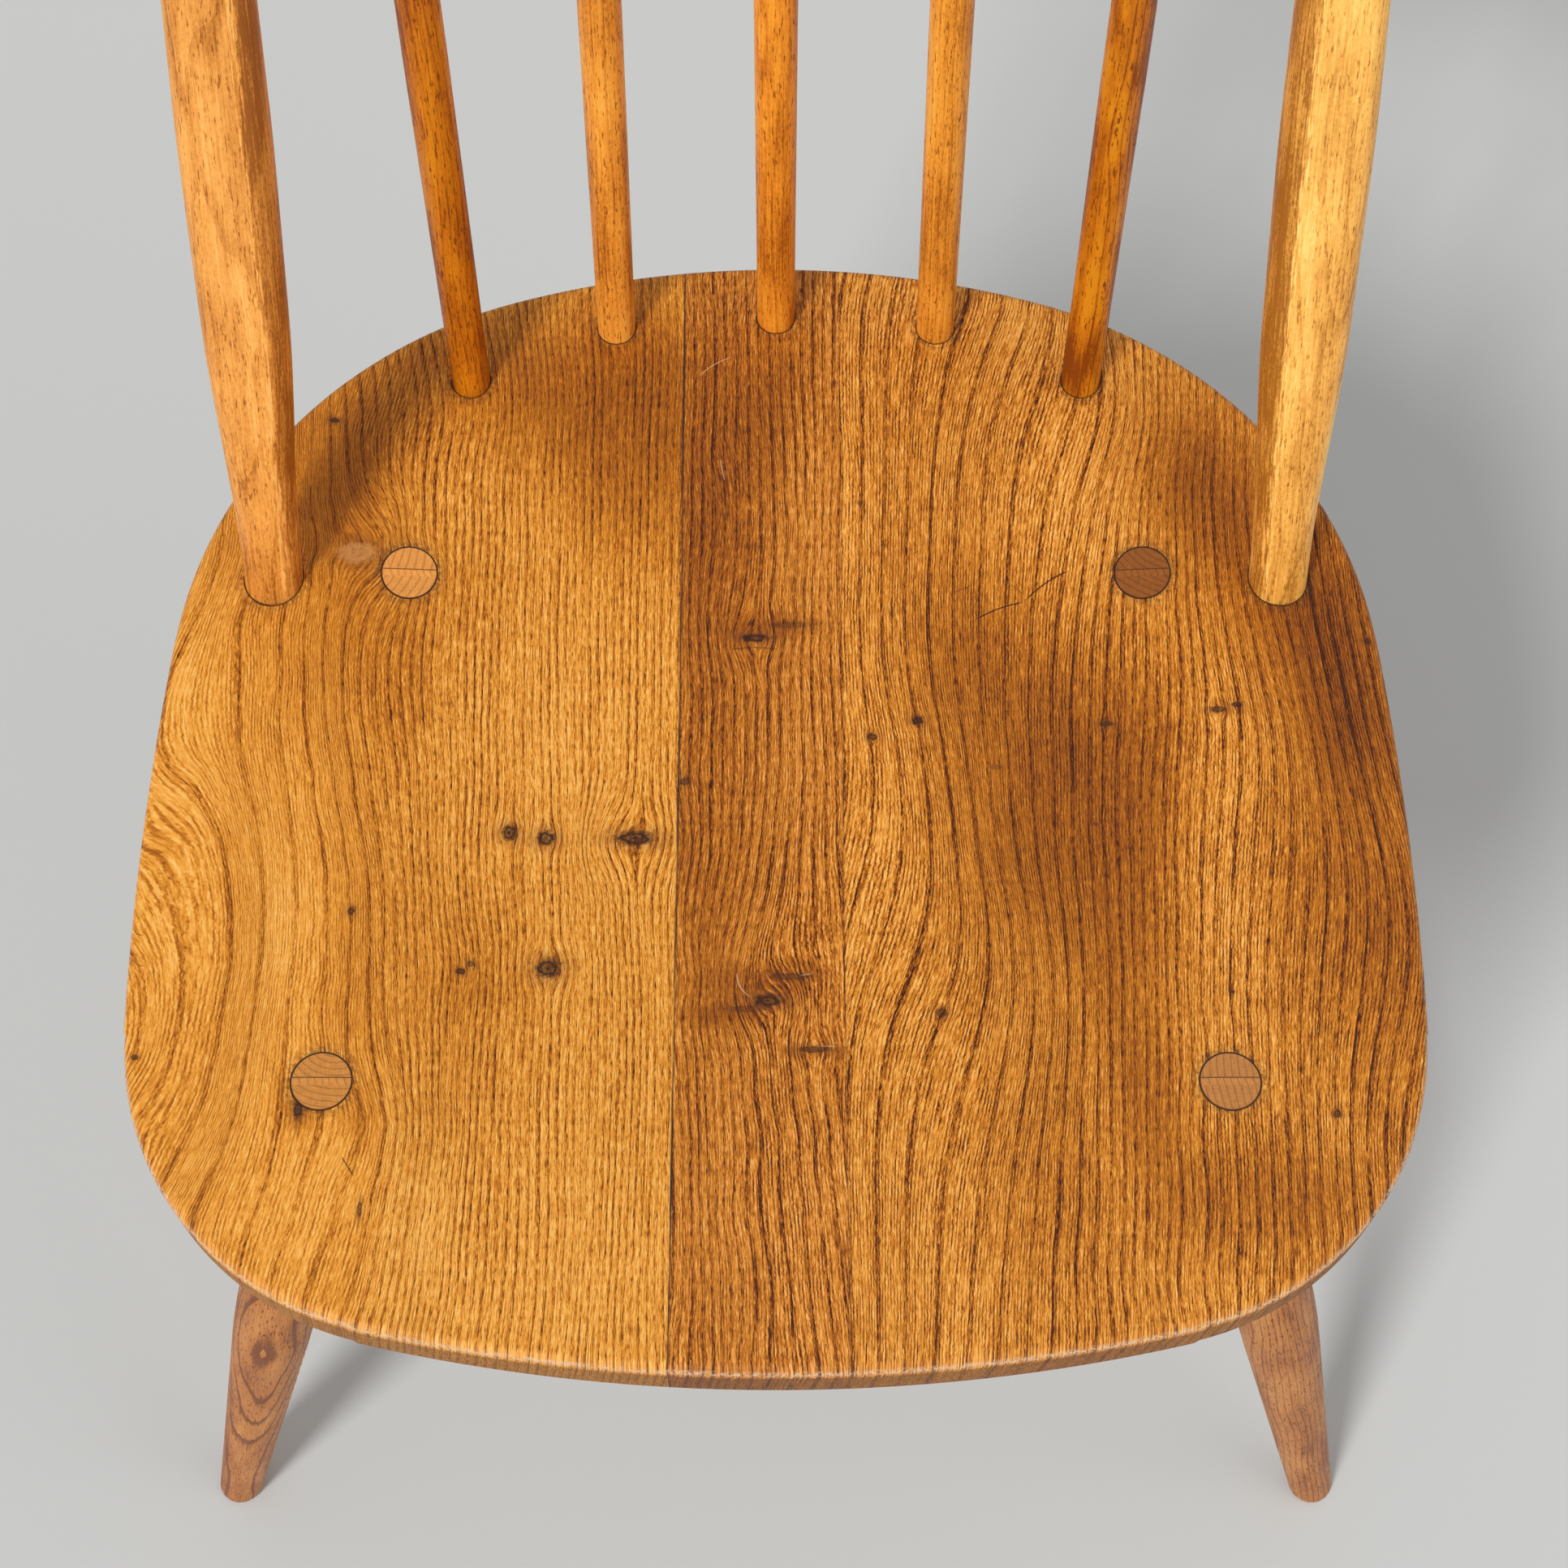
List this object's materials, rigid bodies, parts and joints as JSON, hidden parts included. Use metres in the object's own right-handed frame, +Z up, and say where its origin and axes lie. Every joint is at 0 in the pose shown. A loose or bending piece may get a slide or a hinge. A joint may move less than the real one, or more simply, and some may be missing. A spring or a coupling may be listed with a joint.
{
  "type": "windsor chair",
  "caption": "Stick-back wooden chair with a dished seat, splayed turned legs with wedged tenons, stretchers, stout outer posts and a bent crest rail.",
  "frame": {"origin": "on the floor, under the middle of the chair's overall width and depth", "axes": "+Z up, the front of the chair faces -Y and its back +Y, +X to the right as seen from the front; left and right in the names are as seen from the front"},
  "size_m": [0.5004, 0.4602, 0.8002],
  "materials": {
    "seat_elm": "satin wax polish over open-grained elm",
    "back_beech": "satin aged varnish on beech",
    "leg_beech": "satin aged varnish on beech, worn at the feet",
    "wedge_wood": "end grain, waxed"
  },
  "bodies": {
    "root": {"seat_board_left": "seat_elm", "seat_board_middle": "seat_elm", "seat_board_right": "seat_elm", "front_left_leg": "leg_beech", "front_left_leg_wedge": "wedge_wood", "rear_left_leg": "leg_beech", "rear_left_leg_wedge": "wedge_wood", "front_right_leg": "leg_beech", "front_right_leg_wedge": "wedge_wood", "rear_right_leg": "leg_beech", "rear_right_leg_wedge": "wedge_wood", "left_side_stretcher": "leg_beech", "right_side_stretcher": "leg_beech", "cross_stretcher": "leg_beech", "left_post": "back_beech", "left_post_wedge": "wedge_wood", "left_crest_peg": "wedge_wood", "right_post": "back_beech", "right_post_wedge": "wedge_wood", "right_crest_peg": "wedge_wood", "stick_1": "back_beech", "stick_2": "back_beech", "stick_3": "back_beech", "stick_4": "back_beech", "stick_5": "back_beech", "crest_rail": "back_beech"}
  },
  "joints": []
}
